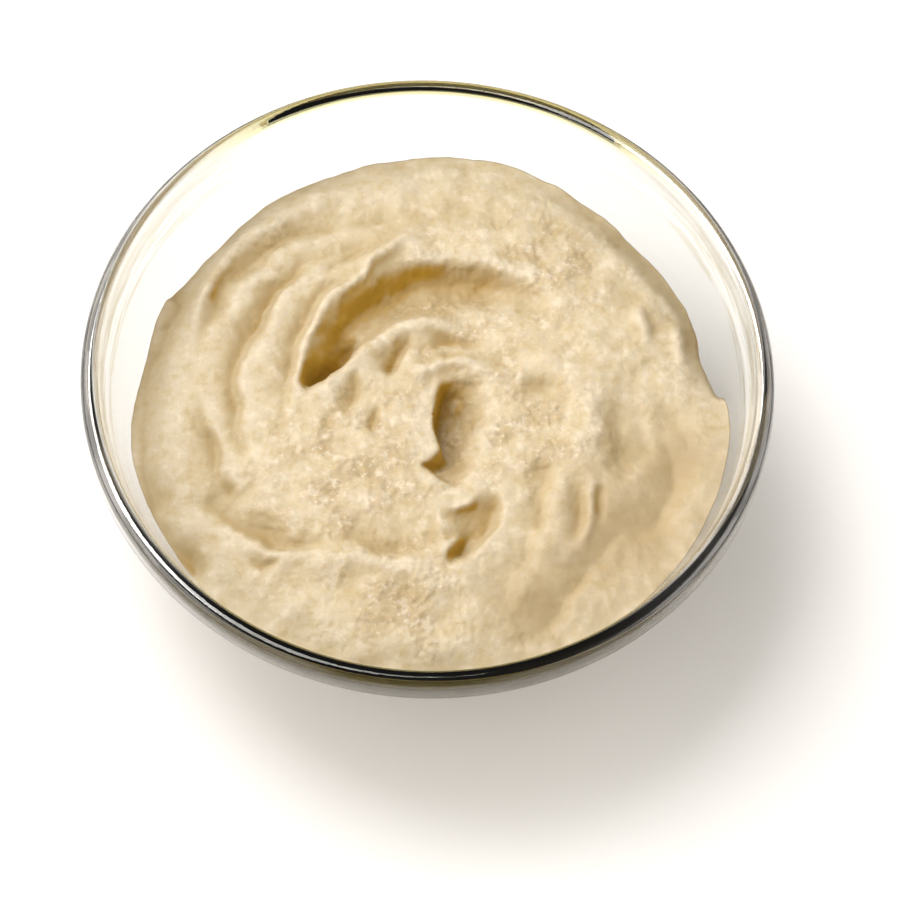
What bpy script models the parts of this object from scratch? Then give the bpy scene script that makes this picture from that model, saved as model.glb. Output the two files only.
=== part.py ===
"""Round glass bowl filled with swirled hummus.

Frame: origin at the middle of the base, +Z up, metres.  Lengths below are
millimetres and are turned into metres when the vertices are made.
"""
import math

import bmesh
import bpy
import numpy as np

MM = 0.001

# bowl: two concentric spherical shells standing on a short foot
HEIGHT = 48.0            # base to top of the rim
RIM_RADIUS = 60.0        # outside of the rim bead
INNER_SPHERE = 57.5      # radius of the inner wall
OUTER_SPHERE = 60.5      # radius of the outer wall
SPHERE_LIFT = 9.4        # sphere centre above the rim plane
FLOOR = 4.5              # inner floor above the base
FLOOR_FILLET = 20.0      # between the floor and the inner wall
BEAD_RADIUS = 1.78       # rounded lip of the rim
BEAD_SKIRT = 0.75        # straight part of the bead under its widest line
BEAD_NOSE = 0.5          # rounding under the bead
FOOT_RADIUS = 26.0
FOOT_EDGE = 0.8          # rounding at the bottom of the foot
FOOT_BLEND = 1.2         # hollow rounding between foot and wall
AROUND = 80              # facets round the axis

# hummus: heights are measured from the rim plane, downwards negative
GAP = 0.3                # clearance between the hummus and the glass
MOUND_TOP = -11.6        # general level of the mound
WALL_LEVEL = -15.5       # level along the glass
MOUND_EDGE = 37.0        # radius where the mound starts to fall to the glass
WALL_RADIUS = 52.0       # radius of the glass at that level
RINGS = 26               # rings of the swirled top
SIDE_RINGS = 7           # rings of the side and underside
PATH_STEPS = 12          # samples per span of a stroke

# low places where the mound has pulled away from the glass:
# (bearing in degrees, half width in degrees, how much lower)
DIPS = [(152.0, 11.0, 5.5), (14.0, 9.0, 4.0)]

# strokes of the spoon: (path, depth along the path, width on the left of
# the path, width on its right); negative depths are furrows
STROKES = {
    "crescent hollow": (
        [(-21, 2), (-18, 9), (-13, 16.5), (-6, 23), (2, 26), (10, 26.5), (19, 24.5)],
        [-5.5, -8.5, -8.0, -7.0, -6.5, -5.0, -0.5], 3.0, 6.5),
    "crescent lip": (
        [(-25, -2), (-24, 8), (-20.5, 17), (-13, 26), (-5, 33), (6, 34.5)],
        [0.0, 2.0, 2.6, 2.6, 1.8, 0.0], 2.6, 2.4),
    "centre pit": (
        [(8, 6), (3, 4.5), (1.8, 0), (2.0, -6), (2.2, -12), (4, -16)],
        [-2.0, -5.5, -7.5, -7.5, -5.0, -1.0], 6.0, 2.8),
    "centre fold": (
        [(-16, -3), (-12, 7), (-5, 13.5), (4, 13), (11, 9)],
        [1.0, 2.2, 2.4, 2.0, 0.5], 3.2, 3.2),
    "lower hollow": (
        [(14, -18), (12, -23), (8.5, -28), (5.5, -31.5)],
        [-3.0, -4.2, -4.0, -0.8], 3.0, 5.5),
    "left furrow": (
        [(-33, -13), (-34, 0), (-32.5, 12), (-28, 20), (-22, 27.5), (-12, 31)],
        [-0.6, -1.6, -2.4, -2.4, -1.4, -0.3], 2.8, 2.4),
    "outer furrow": (
        [(-41, 8), (-38, 21), (-31, 30), (-20, 36), (-5, 39.5), (10, 39.5)],
        [-0.4, -1.4, -1.8, -1.8, -1.2, -0.4], 3.0, 3.0),
    "lower furrow": (
        [(-36, -20), (-30, -24.5), (-21, -29), (-8, -27.5), (2, -27)],
        [-1.6, -2.4, -2.2, -2.2, -1.2], 4.0, 2.6),
    "inner right furrow": (
        [(25, 9), (31, 1), (34, -6), (31, -16), (26, -24), (19, -33)],
        [-0.4, -1.2, -1.4, -1.4, -1.4, -0.8], 2.6, 2.6),
    "outer right furrow": (
        [(38, 14), (41.5, 0), (44, -12), (39, -22), (29, -30), (22, -40), (10, -47)],
        [-0.6, -1.4, -1.6, -1.6, -1.6, -1.4, -0.4], 2.4, 3.4),
    "right ridge": (
        [(20, 2), (24, -8), (23, -20), (17, -30), (6, -35), (-8, -34), (-24, -32)],
        [0.8, 1.2, 1.6, 1.8, 1.6, 1.4, 0.8], 3.4, 3.0),
}


def catmull_rom(knots):
    """Smooth path through the knots; each row may hold any number of values."""
    knots = np.asarray(knots, float)
    ends = np.vstack([2 * knots[0] - knots[1], knots, 2 * knots[-1] - knots[-2]])
    path = []
    for a, b, c, d in zip(ends, ends[1:], ends[2:], ends[3:]):
        for t in np.arange(PATH_STEPS) / PATH_STEPS:
            path.append(0.5 * (2 * b + (c - a) * t + (2 * a - 5 * b + 4 * c - d) * t ** 2
                               + (3 * b - a - 3 * c + d) * t ** 3))
    path.append(knots[-1])
    return np.array(path)


def stroke_height(x, y, knots, depths, left, right):
    """Height one stroke adds at the points x, y."""
    path = catmull_rom([(px, py, deep) for (px, py), deep in zip(knots, depths)])
    along = np.gradient(path[:, :2], axis=0)
    along /= np.linalg.norm(along, axis=1, keepdims=True)
    dx = x[:, None] - path[None, :, 0]
    dy = y[:, None] - path[None, :, 1]
    near = np.argmin(dx ** 2 + dy ** 2, axis=1)
    rows = np.arange(len(x))
    dx, dy, direction = dx[rows, near], dy[rows, near], along[near]
    side = direction[:, 0] * dy - direction[:, 1] * dx
    width = np.where(side > 0, left, right)
    return path[near, 2] * np.exp(-(dx ** 2 + dy ** 2) / width ** 2)


def smooth_step(t):
    t = np.clip(t, 0, 1)
    return t * t * (3 - 2 * t)


def top_level(x, y):
    """Height of the swirled top over the base, for arrays of points."""
    radius = np.hypot(x, y)
    fall = smooth_step((radius - MOUND_EDGE) / (WALL_RADIUS - MOUND_EDGE))
    level = MOUND_TOP + (WALL_LEVEL - MOUND_TOP) * fall
    bearing = np.degrees(np.arctan2(y, x))
    for middle, spread, drop in DIPS:
        off = (bearing - middle + 180) % 360 - 180
        level = level - drop * np.exp(-(off / spread) ** 2) * fall
    for stroke in STROKES.values():
        level = level + stroke_height(x, y, *stroke) * (1 - fall ** 2)
    return HEIGHT + level


def inner_radius(z):
    """Radius of the inner wall at height z, rounded into the floor."""
    centre = HEIGHT + SPHERE_LIFT
    arm = INNER_SPHERE - FLOOR_FILLET
    turn = math.acos((centre - FLOOR - FLOOR_FILLET) / arm)
    if z >= centre - INNER_SPHERE * math.cos(turn):
        return math.sqrt(INNER_SPHERE ** 2 - (centre - z) ** 2)
    rise = max(z - FLOOR, 0.0)
    return arm * math.sin(turn) + math.sqrt(FLOOR_FILLET ** 2 - (FLOOR_FILLET - rise) ** 2)


def outer_radius(z):
    return math.sqrt(OUTER_SPHERE ** 2 - (HEIGHT + SPHERE_LIFT - z) ** 2)


def arc(cx, cz, radius, start, end, steps):
    """Points of an arc, angles in degrees from +X towards +Z."""
    return [(cx + radius * math.cos(math.radians(a)), cz + radius * math.sin(math.radians(a)))
            for a in np.linspace(start, end, steps)]


def bowl_profile():
    """Half section from the middle of the floor over the rim to the base."""
    bead_x, bead_z = RIM_RADIUS - BEAD_RADIUS, HEIGHT - BEAD_RADIUS
    points = [(0.0, FLOOR)]
    points += [(inner_radius(z), z) for z in (FLOOR, FLOOR + 0.8, FLOOR + 2.6, 12, 19, 26, 33, 39.5)]
    points += arc(bead_x, bead_z, BEAD_RADIUS, 180, 0, 7)
    nose_z = bead_z - BEAD_SKIRT
    points += arc(RIM_RADIUS - BEAD_NOSE, nose_z, BEAD_NOSE, 0, -90, 3)
    under = nose_z - BEAD_NOSE
    points += [(outer_radius(z), z) for z in (under, 39, 32, 25, 18, 12, 7)]
    foot_top = HEIGHT + SPHERE_LIFT - math.sqrt(OUTER_SPHERE ** 2 - (FOOT_RADIUS + FOOT_BLEND) ** 2)
    points += [(FOOT_RADIUS + FOOT_BLEND, foot_top), (FOOT_RADIUS, foot_top - FOOT_BLEND / 2)]
    points += arc(FOOT_RADIUS - FOOT_EDGE, FOOT_EDGE, FOOT_EDGE, 0, -90, 3)
    return points + [(0.0, 0.0)]


def glass_material():
    material = bpy.data.materials.new("bowl_glass")
    material.use_nodes = True
    shader = material.node_tree.nodes["Principled BSDF"]
    shader.inputs["Base Color"].default_value = (0.86, 0.89, 0.84, 1.0)
    shader.inputs["Roughness"].default_value = 0.03
    shader.inputs["Metallic"].default_value = 0.0
    shader.inputs["Alpha"].default_value = 0.35
    return material


def hummus_material():
    material = bpy.data.materials.new("hummus")
    material.use_nodes = True
    shader = material.node_tree.nodes["Principled BSDF"]
    shader.inputs["Base Color"].default_value = (0.80, 0.66, 0.43, 1.0)
    shader.inputs["Roughness"].default_value = 0.55
    shader.inputs["Metallic"].default_value = 0.0
    return material


def make_bowl():
    """The section turned round the axis with a Screw modifier."""
    mesh = bpy.data.meshes.new("bowl")
    points = [(x * MM, 0.0, z * MM) for x, z in bowl_profile()]
    mesh.from_pydata(points, [(i, i + 1) for i in range(len(points) - 1)], [])
    bowl = bpy.data.objects.new("bowl", mesh)
    bpy.context.collection.objects.link(bowl)
    screw = bowl.modifiers.new("turn", "SCREW")
    screw.steps = screw.render_steps = AROUND
    screw.use_merge_vertices = True
    screw.merge_threshold = 0.00001
    screw.use_smooth_shade = True
    mesh.materials.append(glass_material())
    return bowl


def edge_of_top(cosine, sine):
    """Radius at which the top meets the clearance line along the glass."""
    low, high = np.full(len(cosine), 40.0), np.full(len(cosine), 57.0)
    for _ in range(20):
        middle = (low + high) / 2
        level = top_level(middle * cosine, middle * sine)
        inside = middle < [inner_radius(z) - GAP for z in level]
        low, high = np.where(inside, middle, low), np.where(inside, high, middle)
    return low


def hummus_rings():
    """Rings of points from just off the axis, over the edge, to the underside."""
    bearing = np.arange(AROUND) * 2 * np.pi / AROUND
    cosine, sine = np.cos(bearing), np.sin(bearing)
    edge = edge_of_top(cosine, sine)
    rings = []
    for i in range(1, RINGS + 1):
        radius = edge * i / RINGS
        x, y = radius * cosine, radius * sine
        rings.append(np.stack([x, y, top_level(x, y)], axis=1))
    low = FLOOR + GAP
    for i in range(1, SIDE_RINGS + 1):
        z = low + (rings[RINGS - 1][:, 2] - low) * (1 - i / SIDE_RINGS) ** 1.5
        radius = np.array([inner_radius(h - GAP) for h in z]) - GAP
        rings.append(np.stack([radius * cosine, radius * sine, z], axis=1))
    return rings


def make_hummus():
    """The solid of hummus from its swirled top down to the floor of the bowl."""
    sheet = bmesh.new()
    top = top_level(np.zeros(1), np.zeros(1))[0]
    peak = sheet.verts.new((0.0, 0.0, top * MM))
    base = sheet.verts.new((0.0, 0.0, (FLOOR + GAP) * MM))
    rings = [[sheet.verts.new(point * MM) for point in ring] for ring in hummus_rings()]
    for i in range(AROUND):
        j = (i + 1) % AROUND
        sheet.faces.new((peak, rings[0][i], rings[0][j]))
        sheet.faces.new((base, rings[-1][j], rings[-1][i]))
        for inner, outer in zip(rings, rings[1:]):
            sheet.faces.new((inner[i], outer[i], outer[j], inner[j]))
    bmesh.ops.recalc_face_normals(sheet, faces=sheet.faces)
    mesh = bpy.data.meshes.new("hummus")
    sheet.to_mesh(mesh)
    sheet.free()
    mesh.shade_smooth()
    mesh.materials.append(hummus_material())
    hummus = bpy.data.objects.new("hummus", mesh)
    bpy.context.collection.objects.link(hummus)
    return hummus


for leftover in list(bpy.data.objects):
    bpy.data.objects.remove(leftover, do_unlink=True)
make_bowl()
make_hummus()
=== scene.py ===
"""A clear glass bowl of swirled hummus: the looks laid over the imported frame.

Lengths in the tables below are millimetres, heights are counted from the plane
of the rim, and x runs to the right, y to the back.
"""
import math

import bpy
import numpy as np
from mathutils import Matrix, Vector


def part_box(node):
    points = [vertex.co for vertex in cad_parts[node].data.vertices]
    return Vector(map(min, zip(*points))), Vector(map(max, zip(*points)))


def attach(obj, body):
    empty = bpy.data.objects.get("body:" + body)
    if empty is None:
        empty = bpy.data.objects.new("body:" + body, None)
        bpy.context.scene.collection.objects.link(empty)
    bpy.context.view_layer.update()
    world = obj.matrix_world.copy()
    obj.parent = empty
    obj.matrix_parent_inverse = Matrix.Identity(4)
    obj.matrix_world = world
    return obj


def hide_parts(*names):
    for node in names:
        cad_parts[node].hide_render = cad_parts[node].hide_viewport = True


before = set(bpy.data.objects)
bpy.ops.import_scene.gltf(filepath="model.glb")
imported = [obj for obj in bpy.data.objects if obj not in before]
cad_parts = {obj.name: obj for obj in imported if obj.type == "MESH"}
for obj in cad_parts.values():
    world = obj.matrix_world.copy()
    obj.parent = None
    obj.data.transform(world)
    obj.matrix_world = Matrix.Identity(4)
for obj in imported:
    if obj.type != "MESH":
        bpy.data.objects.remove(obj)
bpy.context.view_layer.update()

MM = 0.001


def rgb(r, g, b):
    return (r, g, b, 1.0)


# ---------------------------------------------------------------- bowl sizes
BOWL_LOW, BOWL_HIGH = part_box("bowl")
HEIGHT = BOWL_HIGH.z / MM
RIM_RADIUS = BOWL_HIGH.x / MM
INNER_SPHERE = 57.5
OUTER_SPHERE = 60.5
SPHERE_LIFT = 9.4
FLOOR = 4.5
FLOOR_FILLET = 20.0
BEAD_RADIUS = 1.78
BEAD_SKIRT = 3.0          # straight band under the bead
TAPER = 31.0              # lean of the rim where it runs back into the wall, in degrees
TAPER_STEP = 0.1
FOOT_RADIUS = 26.0
FOOT_EDGE = 0.8
FOOT_BLEND = 1.2
BOWL_FACETS = 224

# -------------------------------------------------------------- hummus sizes
BITE = 0.15               # how far the hummus reaches into the glass
PITCH = 0.2               # spacing of the height field
HALF = 57.0               # half side of the height field
RING_COUNT = 158          # rings of triangles on the top
WALL_RINGS = 10           # rings down the side
CROWN_LEVEL = -11.5
SHOULDER_LEVEL = -13.2
STROKE_GAIN = 1.3         # overall depth of the strokes
REACH_GAIN = 1.4          # widens the gentle side of each furrow
FURROW_POWER = 1.5        # 2 is a round trough, lower is a sharper crease
END_FADE = 4.0            # longest stretch over which a stroke fades in and out
MOUND_EDGE, MOUND_FALL = 30, 17      # where the mound starts to fall, and how far out it falls
SHORE, SHORE_WIDTH = 45, 7.5         # the ring in which the top runs to the line on the glass

# Highs and lows of the line where the hummus meets the glass, to the half
# millimetre: bearing in degrees, height.  Smooth slopes join them.
GLASS_LINE = [
    (-165, -14.5), (-80, -15.0), (-20, -12.0), (-5, -12.0), (18, -16.5), (42, -17.0),
    (78, -14.5), (120, -16.5), (147, -19.0), (157, -16.0), (172, -18.0), (195, -14.5)]

# Soft strokes of the spoon.  Each row is x, y, height at that point, reach on
# the left of the stroke and reach on its right.
STROKES = {
    "wall furrow": [
        (-36, -36, 0.0, 1.4, 2.2), (-39, -33, -1.5, 1.4, 2.2), (-43.5, -27.5, -1.2, 1.4, 2.4),
        (-47, -20, -1.1, 1.4, 2.4), (-48.7, -10, -1.0, 1.4, 2.4), (-48.8, 0, -1.0, 1.4, 2.6),
        (-48.2, 8, -1.2, 1.5, 2.8), (-46, 15, -1.7, 2.0, 3.0), (-43.2, 20, -1.8, 3.0, 1.8),
        (-40, 25, -0.4, 3.0, 1.6)],
    "outermost ridge": [
        (-41.5, 2, 0.1, 1.8, 1.8), (-41.3, 12, 0.6, 1.6, 1.6), (-40.6, 20, 1.2, 1.6, 1.8),
        (-38, 27, 1.1, 2, 2), (-33, 33.5, 0.8, 2, 2.4), (-27, 38, 0.6, 2.5, 2.5),
        (-18, 42.5, 0.2, 3, 3)],
    "outer furrow": [
        (-41.5, -2, -0.1, 1.6, 1.6), (-41, 8, -0.5, 1.6, 1.6), (-39.5, 16, -1.1, 1.8, 1.8),
        (-36.8, 22.5, -1.4, 2.2, 1.6), (-34, 26.3, -1.6, 2.4, 1.5), (-30, 30.5, -1.7, 2.8, 1.4),
        (-25, 33.8, -1.6, 3, 1.8), (-20, 35.8, -1.6, 3, 2), (-14, 36.8, -1.4, 3.2, 2.4),
        (-7, 38.2, -1.2, 3.2, 2.6), (0, 40, -1.0, 3.2, 3), (7, 40.5, -0.6, 3, 3),
        (14, 40, -0.1, 3, 3)],
    "left furrow": [
        (-30.6, -15, -0.3, 2.0, 1.2), (-32.3, -8, -1.1, 2.2, 1.0), (-33.6, -2, -1.4, 2.2, 0.9),
        (-34, 4, -1.6, 2.4, 0.9), (-33.6, 8, -1.8, 2.6, 0.9), (-32.2, 12.5, -2.2, 2.9, 0.9),
        (-30.3, 15.7, -2.4, 3.0, 0.8), (-28.5, 19, -2.4, 2.8, 0.7), (-27.2, 21.7, -2.2, 2.5, 0.7),
        (-25.3, 24.4, -1.9, 2.6, 0.9), (-22.3, 28, -1.5, 2.8, 1.4), (-17, 30.8, -1.0, 2.8, 2.0),
        (-10, 33.4, -0.4, 2.8, 2.6), (-4, 35, -0.1, 2.8, 2.6)],
    "low left furrow": [
        (-32.5, -22.5, -0.3, 2.8, 0.9), (-34.4, -17.5, -1.1, 3.2, 0.8),
        (-36.2, -12, -1.4, 3.2, 0.8), (-38.6, -6.2, -1.1, 2.8, 0.8), (-40.8, -1, -0.4, 2.2, 1.0),
        (-42, 3, -0.1, 2.0, 1.0)],
    "thin furrow": [
        (-24.6, -9, -0.1, 1.6, 1.0), (-24.9, 0, -0.7, 1.8, 0.8), (-24.6, 6, -0.9, 1.8, 0.8),
        (-23.8, 11, -1.0, 1.8, 0.8), (-22.2, 15, -1.0, 1.6, 0.8), (-20, 18.8, -0.9, 1.5, 0.7),
        (-17, 22.5, -0.7, 1.4, 0.7), (-14.4, 25, -0.3, 1.2, 0.7)],
    "furrow behind lip": [
        (-20.5, 24.5, -0.2, 1.6, 1.0), (-17.5, 26.8, -0.9, 1.8, 1.0), (-14.6, 28.7, -1.2, 1.8, 1.0),
        (-12.2, 30.4, -0.8, 1.6, 1.0), (-9.5, 32, -0.1, 1.6, 1.0)],
    "crescent lip": [
        (-22.8, -2, 0.6, 1.3, 1.2), (-22.8, 5, 0.7, 1.5, 1.0), (-22.1, 10, 0.9, 1.5, 1.0),
        (-20.1, 15.3, 1.1, 1.5, 1.0), (-17.1, 19.9, 1.2, 1.5, 1.0), (-13.2, 24.4, 1.4, 1.7, 1.1),
        (-9.8, 28.3, 1.4, 1.9, 1.3), (-7.0, 31.4, 1.2, 2.2, 1.6), (-4, 33.3, 0.6, 2.2, 2.2),
        (0, 34.4, 0.2, 2.5, 2.5)],
    "crescent slot": [
        (-22.0, 0.4, -1.4, 0.8, 0.8), (-21.0, 2.6, -3.4, 1.2, 0.8), (-19.0, 4.8, -4.2, 1.3, 0.8),
        (-16.6, 7.0, -4.4, 1.4, 0.8), (-14.5, 9.4, -4.4, 1.5, 0.8), (-12.9, 11.8, -4.0, 1.5, 0.8),
        (-11.6, 14.4, -1.4, 1.2, 0.8)],
    "inner fold": [
        (-21.5, -3.5, 0.4, 1.4, 2.5), (-17.6, 2.0, 0.6, 1.2, 2.8), (-14.2, 5.6, 0.8, 1.1, 2.8),
        (-11.2, 9.4, 0.9, 1.2, 2.6), (-9.0, 12, 1.0, 1.8, 2.6), (-6, 14, 1.1, 2.6, 2.4),
        (-2, 15.2, 1.0, 3.0, 2.2), (2.4, 14.9, 0.8, 2.8, 1.8), (8, 13.0, 0.3, 2.6, 1.8)],
    "fold pit": [
        (-3.0, 13.6, -0.8, 0.8, 1.4), (-4.6, 10.6, -1.1, 0.8, 1.6), (-5.8, 8, -1.5, 0.8, 1.4),
        (-6.5, 5.4, -1.9, 0.7, 1.0), (-7.1, 3.2, -0.6, 0.6, 0.8)],
    "fold crease": [
        (-1, 10, -0.1, 1.4, 0.6), (1.4, 11.3, -1.0, 1.8, 0.6), (4, 11.7, -1.3, 2.2, 0.7),
        (7, 11.6, -0.9, 2.0, 0.9), (10.5, 10.4, -0.1, 1.8, 1.0)],
    "small crease": [
        (1.6, 8.8, -0.1, 0.8, 0.5), (3.6, 8.8, -0.6, 0.9, 0.5), (5.6, 8.7, -0.6, 0.9, 0.5),
        (8, 9.1, -0.1, 0.8, 0.5)],
    "pit brow": [
        (-2.6, 2, 0.3, 2.0, 1.4), (-1.2, 5, 0.8, 1.6, 1.4), (1.6, 7.4, 1.0, 1.2, 1.4),
        (5.5, 7.9, 1.0, 1.1, 1.4), (9.5, 7.2, 0.6, 1.2, 1.4), (14, 6.4, 0.4, 1.6, 1.6),
        (20, 6.5, 0.1, 2, 2)],
    "standing crease": [
        (-12.7, 7.2, -0.1, 0.6, 1.3), (-13.1, 3.5, -0.9, 0.6, 1.4), (-13.3, 0, -1.0, 0.6, 1.4),
        (-13.8, -2.6, -0.6, 0.8, 1.2), (-15.2, -4.6, -0.1, 0.8, 1.2)],
    "left nick": [
        (-15.4, -1.4, -0.3, 1.0, 1.0), (-16.6, -4.4, -0.5, 1.2, 1.2), (-17.4, -7.4, -0.3, 1.0, 1.0)],
    "deep nick": [
        (-8.6, -0.6, -0.4, 0.6, 0.7), (-8.9, -2.8, -0.9, 0.6, 0.8), (-9.0, -4.6, -1.1, 0.6, 0.8),
        (-9.3, -6.6, -0.5, 0.6, 0.8)],
    "thin nick": [
        (-6.1, 0.5, -0.1, 0.4, 0.4), (-6.4, -1, -0.6, 0.4, 0.5), (-6.7, -2.6, -0.1, 0.4, 0.4)],
    "dent right of pit": [
        (16, 5.6, -0.1, 1.4, 2.0), (18.5, 4.2, -0.7, 1.4, 2.2), (21, 3.6, -0.6, 1.4, 2.2),
        (23.5, 2.6, -0.1, 1.6, 2.2)],
    "low furrow": [
        (6, -25.0, -0.7, 3.0, 3.6), (-1, -27, -1.0, 2.2, 3.4), (-5, -27.8, -1.3, 1.9, 3.2),
        (-9, -27.1, -1.1, 1.9, 3.0), (-13, -26.9, -0.8, 1.9, 3.0), (-17, -28.3, -0.8, 1.7, 3.0),
        (-21, -29.0, -1.1, 1.6, 3.0), (-25, -27.9, -1.4, 1.7, 3.2), (-29, -25.7, -1.7, 1.9, 3.4),
        (-33, -23.3, -1.6, 2.2, 3.2), (-36, -21, -1.0, 2.6, 2.8), (-39, -18, -0.4, 2.6, 2.6)],
    "front ridge": [
        (12, -32.0, 0.3, 2.6, 2.2), (5, -34, 0.5, 3.0, 2.4), (-2, -32.4, 0.7, 3.0, 2.2),
        (-10, -31.0, 0.6, 2.8, 2.0), (-19, -31.8, 0.7, 2.6, 1.8), (-26, -30.6, 0.7, 2.6, 1.8),
        (-32, -28.0, 0.4, 2.4, 1.8), (-37, -25, 0.2, 2.4, 2.0)],
    "front nick": [
        (-22, -32.3, -0.1, 0.6, 0.9), (-25, -33, -0.9, 0.6, 1.1), (-27.5, -33.3, -0.7, 0.6, 1.1),
        (-30.2, -32.4, -0.1, 0.6, 0.9)],
    "inner rib furrow": [
        (19.4, -8, -0.4, 1.8, 2.4), (20.6, -14.5, -0.7, 1.6, 2.6), (20.8, -20, -1.0, 1.2, 2.6),
        (19.4, -25, -0.9, 1.3, 2.8), (17.4, -30, -0.9, 1.5, 3.0), (15, -34.5, -0.7, 2.0, 3.2),
        (10.5, -38, -0.3, 2.6, 3.2)],
    "rib crease": [
        (25.8, -10.5, -0.3, 0.8, 1.4), (27.2, -15.4, -0.7, 0.7, 1.5), (27.6, -19.6, -0.8, 0.7, 1.7),
        (26.8, -22.6, -0.6, 0.8, 1.8), (24.6, -25.6, -0.4, 1.2, 2.0)],
    "rib nick": [
        (30.5, -14, -0.4, 0.6, 0.6), (31, -17.2, -0.7, 0.6, 0.7), (31.2, -19.2, -0.7, 0.6, 0.7),
        (30.7, -22, -0.3, 0.6, 0.6)],
    "standing rib": [
        (28.4, -11.5, 0.3, 0.9, 0.9), (29.2, -16.5, 0.6, 0.9, 0.9), (29, -21.5, 0.7, 1.0, 0.9),
        (27.6, -26, 0.4, 1.3, 1.2), (24.5, -30, 0.2, 1.5, 1.5)],
    "right slope furrow": [
        (35, -23.0, -0.5, 1.8, 2.0), (32.4, -26.0, -0.8, 1.0, 1.8), (29.8, -29.4, -0.9, 0.9, 2.2),
        (27.0, -34, -0.9, 0.9, 2.4), (24.4, -38, -0.9, 1.1, 2.8), (21.3, -41.4, -0.9, 2.0, 3.2),
        (17, -44.2, -0.6, 2.6, 3.2), (11, -46.6, -0.3, 2.8, 3.2)],
    "long crease": [
        (37.6, 12, -0.1, 1.8, 2.6), (40.2, 5, -0.4, 1.8, 3.0), (41.8, -1, -0.6, 1.8, 3.0),
        (42.8, -6, -0.7, 1.8, 3.2), (43.6, -11, -0.8, 1.8, 3.4), (43.5, -14.5, -0.8, 1.9, 3.6),
        (42.3, -17.8, -0.8, 2.0, 3.6), (40.0, -20.6, -0.8, 2.0, 3.4), (37.8, -23.2, -0.6, 2.0, 3.0),
        (36, -26, -0.2, 2.0, 3.0)],
    "broad ridge": [
        (12, 14, 0.2, 4, 4), (21, 9.5, 0.6, 3.6, 3.6), (26.5, 4.5, 0.9, 3.4, 3.0),
        (28.6, -2, 0.9, 3.4, 3.0), (27.0, -9, 0.6, 3.2, 3.2), (24.4, -16, 0.5, 2.4, 2.4),
        (23.6, -24, 0.4, 2.4, 2.4), (20, -32, 0.3, 2.6, 2.6)],
    "right hollow": [
        (30.6, 3, -0.2, 2.0, 2.4), (33.6, -1.5, -0.8, 2.2, 2.4), (34.6, -6, -1.1, 2.4, 2.8),
        (33, -10.5, -0.6, 2.6, 2.6), (30, -13, -0.1, 2.4, 2.4)],
    "right arc": [
        (35.0, 11.5, -0.1, 1.8, 2.4), (36.2, 5, -0.4, 1.7, 2.8), (37.5, -0.5, -0.6, 1.6, 3.0),
        (38.3, -4.3, -0.7, 1.4, 3.4), (37.4, -7.8, -0.7, 1.4, 3.6), (35.4, -10.2, -0.5, 1.6, 3.4),
        (32, -12.4, -0.2, 1.8, 3.0)],
    "upper dent": [
        (12.2, 39.6, -0.1, 1.6, 1.8), (14.2, 37.6, -0.4, 2.0, 2.0), (15.8, 35.4, -0.1, 1.8, 1.8)],
    "upper right dent": [
        (18.0, 37.4, -0.1, 1.8, 2.2), (21, 38.6, -0.35, 2.0, 2.4), (24.4, 38.4, -0.1, 2.0, 2.2)],
    "upper nick": [
        (16.6, 31.2, -0.1, 0.7, 1.2), (18.6, 30.7, -0.35, 0.6, 1.4), (20, 30.9, -0.1, 0.6, 1.2)],
    "right ridge": [
        (36.6, 24, 0.1, 1.2, 1.2), (37.9, 18, 0.8, 1.0, 1.2), (38.6, 13, 0.2, 1.2, 1.2)],
    "far right ridge": [
        (41.2, 27, 0.6, 1.2, 1.2), (43.5, 21, 0.4, 1.2, 1.2), (44.2, 16.5, 0.7, 1.2, 1.2),
        (45, 10, 0.1, 1.4, 1.4)],
    "fin": [
        (7.8, -24.6, 0.1, 0.9, 1.2), (6.5, -26.8, 1.0, 0.8, 1.3), (5.2, -28.6, 0.8, 0.8, 1.6),
        (3.6, -30.2, 0.1, 1.0, 1.6)],
    "fin slit": [
        (9.4, -22.5, -0.2, 0.8, 0.8), (8.6, -24.8, -0.8, 0.8, 0.7), (7.6, -27.2, -1.5, 0.8, 0.6),
        (6.4, -29.4, -1.7, 0.8, 0.6), (5.2, -31.0, -1.2, 0.7, 0.6), (4.0, -32.2, -0.4, 0.6, 0.6)],
}

# Edges that stand over a hollow: x, y, drop, and how far the hollow reaches.
# The hollow lies on the right of the direction in which the edge is listed.
# After the edge come the width and the lean of its wall.
LIPS = {
    "crescent": (
        [(-22.4, 0.0, 0.8, 2.5), (-22.3, 4.0, 1.6, 4.5), (-21.8, 8.0, 2.2, 7.0),
         (-20.4, 13.0, 3.0, 9.0), (-17.8, 17.4, 3.8, 11.0), (-14.2, 21.4, 4.4, 12.5),
         (-10.4, 24.8, 4.8, 13.5), (-6.6, 27.6, 4.6, 14.5), (-2.0, 29.0, 4.4, 15.0),
         (4.0, 29.9, 4.2, 15.5), (10.0, 29.2, 3.4, 15.0), (15.0, 27.6, 2.2, 13.0),
         (19.5, 25.4, 1.0, 10.0), (24.0, 22.8, 0.1, 6.0)], 4.4, 0.0),
    "lower hollow": (
        [(10.6, -13.6, 0.1, 5.0), (13.4, -16.0, 1.0, 8.0), (14.9, -19.0, 2.2, 11.0),
         (14.7, -22.0, 2.6, 13.0), (13.6, -24.8, 2.8, 14.0), (11.8, -27.2, 2.6, 13.0),
         (9.6, -29.6, 2.0, 10.0), (7.4, -31.4, 1.2, 7.0), (4.6, -32.6, 0.1, 4.0)], 2.6, 0.3),
    "right shelf": (
        [(51.6, 2.6, 0.2, 2.5), (50.4, 5.6, 1.6, 3.5), (48.6, 10.0, 3.0, 4.5),
         (47.1, 15.2, 3.0, 5.0), (46.1, 20.5, 2.2, 5.0), (45, 25, 1.2, 4.0),
         (43.4, 29, 0.2, 3.0)], 1.2, 0.4),
}

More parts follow.
